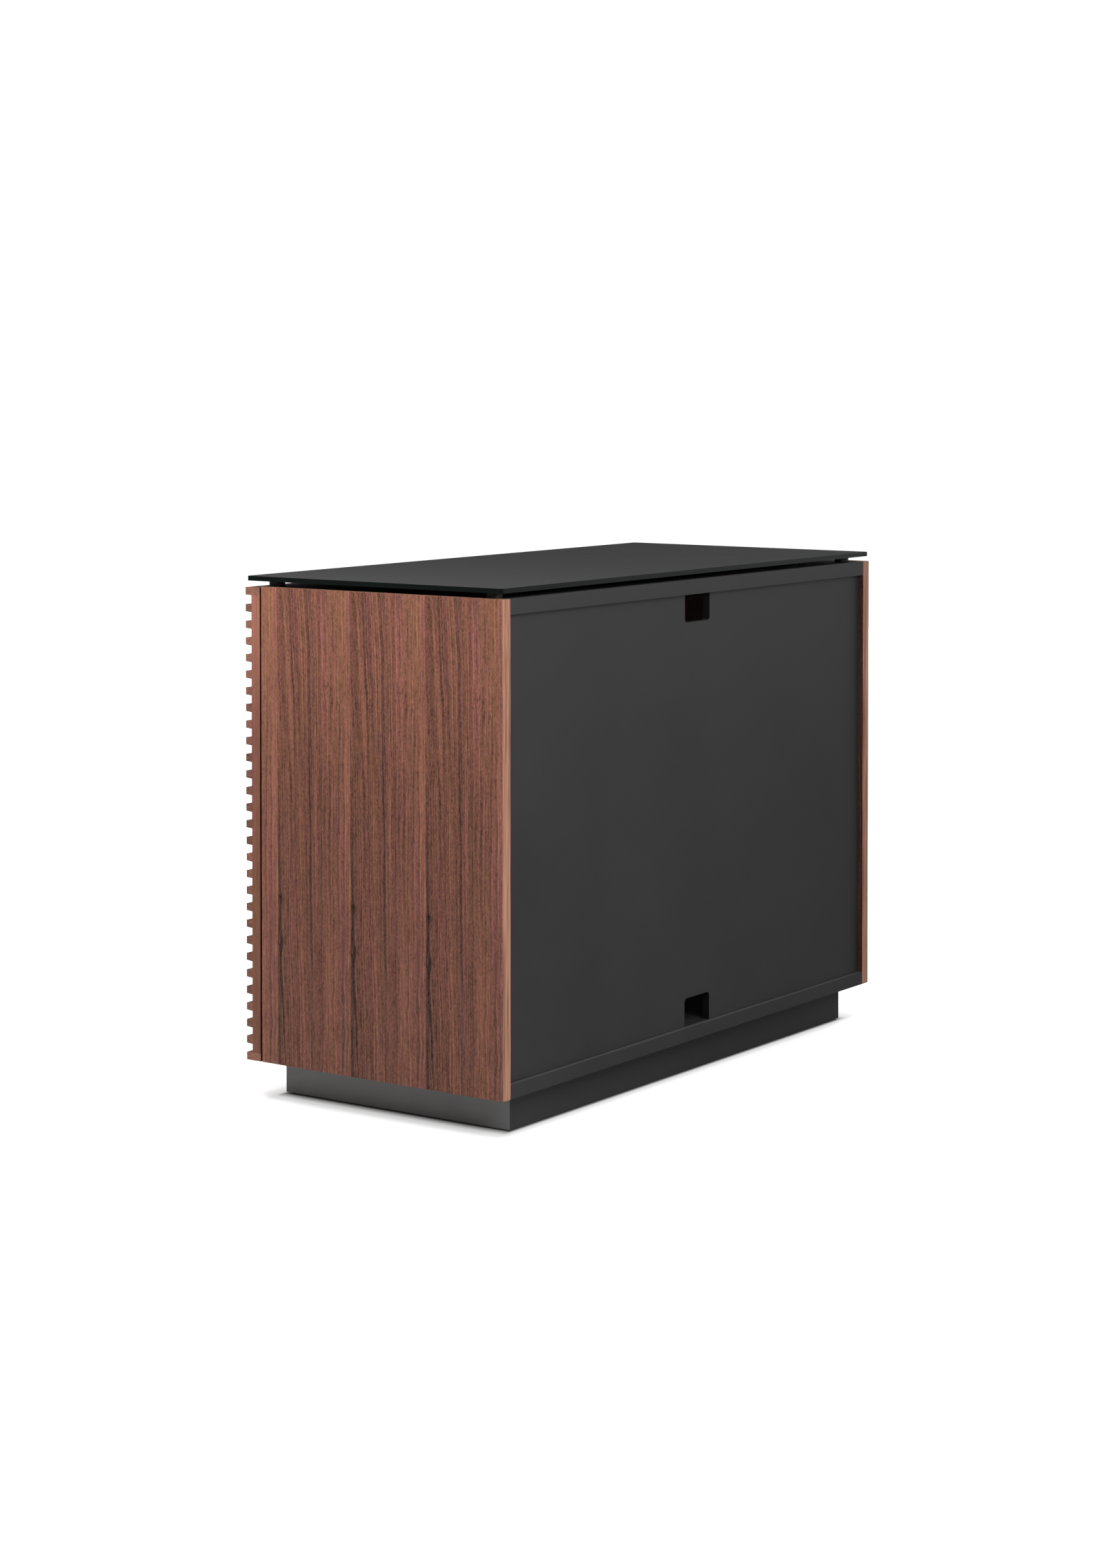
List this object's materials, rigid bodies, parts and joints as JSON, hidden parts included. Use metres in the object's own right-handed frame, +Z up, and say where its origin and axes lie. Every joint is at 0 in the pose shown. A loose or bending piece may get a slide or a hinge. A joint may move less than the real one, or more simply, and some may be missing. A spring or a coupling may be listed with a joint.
{
  "type": "louvred media cabinet",
  "caption": "Low free-standing storage cabinet with walnut sides, louvred hinged doors, a removable back with cable notches, a recessed plinth and a raised glass top.",
  "frame": {"origin": "on the floor, under the centre of the cabinet's outline", "axes": "+X across the width to the right door's side, -Y out of the front, +Z up"},
  "size_m": [1.016, 0.462, 0.762],
  "materials": {
    "walnut_panel": "satin lacquered walnut veneer, grain vertical",
    "walnut_door": "satin lacquered walnut, grain along each piece",
    "black_lacquer": "satin black lacquer on board",
    "rear_panel_lacquer": "satin black lacquer on board",
    "bare_beech": "bare beech",
    "steel": "zinc plated",
    "zinc": "die cast, dull",
    "nickel": "nickel plated, pressed",
    "black_plastic": "moulded, fine texture",
    "foot_plastic": "moulded, smooth",
    "rubber_pad": "soft, matte",
    "etched_glass": "black back-painted glass, micro-etched top, polished dark edge"
  },
  "bodies": {
    "cabinet": {"right_side_panel": "walnut_panel", "left_side_panel": "walnut_panel", "top_board": "black_lacquer", "bottom_board": "black_lacquer", "centre_divider": "black_lacquer", "right_shelf": "black_lacquer", "left_shelf": "black_lacquer", "shelf_pins": "steel", "cam_locks": "zinc", "cam_bolts": "steel", "dowels": "bare_beech", "right_rear_cleat": "black_lacquer", "left_rear_cleat": "black_lacquer", "cleat_screws": "steel", "panel_sockets": "black_plastic", "plinth_front": "black_lacquer", "plinth_rear": "black_lacquer", "plinth_right": "black_lacquer", "plinth_left": "black_lacquer", "plinth_cross_rail": "black_lacquer", "corner_blocks": "bare_beech", "block_screws": "steel", "foot_inserts": "steel", "glass_standoffs": "black_plastic", "standoff_screws": "steel", "glass_pads": "rubber_pad", "glass_top": "etched_glass", "hinge_plates": "nickel", "hinge_arms": "nickel", "hinge_plate_screws": "steel", "door_catches": "black_plastic", "catch_screws": "steel"},
    "right_door": {"right_door_top_rail": "walnut_door", "right_door_bottom_rail": "walnut_door", "right_door_outer_stile": "walnut_door", "right_door_inner_stile": "walnut_door", "right_door_mullion": "walnut_door", "right_door_slats": "walnut_door", "right_hinge_cups": "nickel", "right_hinge_pins": "nickel", "right_cup_screws": "steel", "right_strike_plate": "nickel"},
    "left_door": {"left_door_top_rail": "walnut_door", "left_door_bottom_rail": "walnut_door", "left_door_outer_stile": "walnut_door", "left_door_inner_stile": "walnut_door", "left_door_mullion": "walnut_door", "left_door_slats": "walnut_door", "left_hinge_cups": "nickel", "left_hinge_pins": "nickel", "left_cup_screws": "steel", "left_strike_plate": "nickel"},
    "back": {"rear_panel": "rear_panel_lacquer", "rear_panel_studs": "black_plastic"},
    "front_right_foot": {"foot_front_right": "foot_plastic"},
    "front_left_foot": {"foot_front_left": "foot_plastic"},
    "rear_right_foot": {"foot_rear_right": "foot_plastic"},
    "rear_left_foot": {"foot_rear_left": "foot_plastic"}
  },
  "joints": [
    {"name": "right_door_hinge", "type": "hinge", "parent": "cabinet", "child": "right_door", "pos_m": [0.501, -0.2141, 0.4], "axis": [0, 0, 1], "range_deg": [0, 95]},
    {"name": "left_door_hinge", "type": "hinge", "parent": "cabinet", "child": "left_door", "pos_m": [-0.501, -0.2141, 0.4], "axis": [0, 0, -1], "range_deg": [0, 95]},
    {"name": "back_pull", "type": "slide", "parent": "cabinet", "child": "back", "axis": [0, 1, 0], "range_m": [0, 0.1]},
    {"name": "front_right_foot_screw", "type": "slide", "parent": "cabinet", "child": "front_right_foot", "axis": [0, 0, -1], "range_m": [0, 0.012]},
    {"name": "front_left_foot_screw", "type": "slide", "parent": "cabinet", "child": "front_left_foot", "axis": [0, 0, -1], "range_m": [0, 0.012]},
    {"name": "rear_right_foot_screw", "type": "slide", "parent": "cabinet", "child": "rear_right_foot", "axis": [0, 0, -1], "range_m": [0, 0.012]},
    {"name": "rear_left_foot_screw", "type": "slide", "parent": "cabinet", "child": "rear_left_foot", "axis": [0, 0, -1], "range_m": [0, 0.012]}
  ]
}
